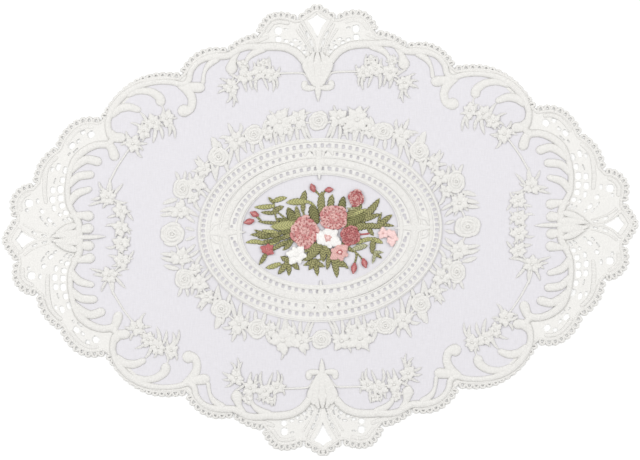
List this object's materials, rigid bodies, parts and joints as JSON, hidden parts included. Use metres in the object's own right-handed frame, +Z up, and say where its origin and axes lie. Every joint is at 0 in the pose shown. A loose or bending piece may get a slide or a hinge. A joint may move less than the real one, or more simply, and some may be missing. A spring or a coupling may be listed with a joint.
{
  "type": "lace doily",
  "caption": "Oval lace doily laid flat: sheer panel, scalloped scroll lace border with picot edge, embroidered oval wreath and a coloured rose bouquet in the middle",
  "frame": {"origin": "Middle of the flat underside on the table", "axes": "+X along the length, +Y along the width, +Z up from the table"},
  "size_m": [0.3996, 0.284, 0.003],
  "materials": {
    "organza": "sheer woven organza",
    "white": "off-white embroidery thread",
    "leaf_green": "olive embroidery thread",
    "pink": "pink embroidery thread",
    "rose_red": "rose red embroidery thread",
    "pale_pink": "pale pink embroidery thread"
  },
  "bodies": {
    "root": {"organza_panel": "organza", "lace_border": "white", "wreath_ring": "white", "bouquet_leaves": "leaf_green", "rose_left": "pink", "rose_upper": "pink", "rose_right": "rose_red", "flower_white": "white", "flower_pink": "pink", "flower_pale": "white", "flower_red": "rose_red", "rosebud": "rose_red", "bud_top": "pink", "bud_top_right": "pink", "bud_left": "rose_red", "bud_far_left": "rose_red", "bud_low": "rose_red", "bud_low_right": "rose_red", "bell_inner": "pale_pink", "bell_outer": "pale_pink"}
  },
  "joints": []
}
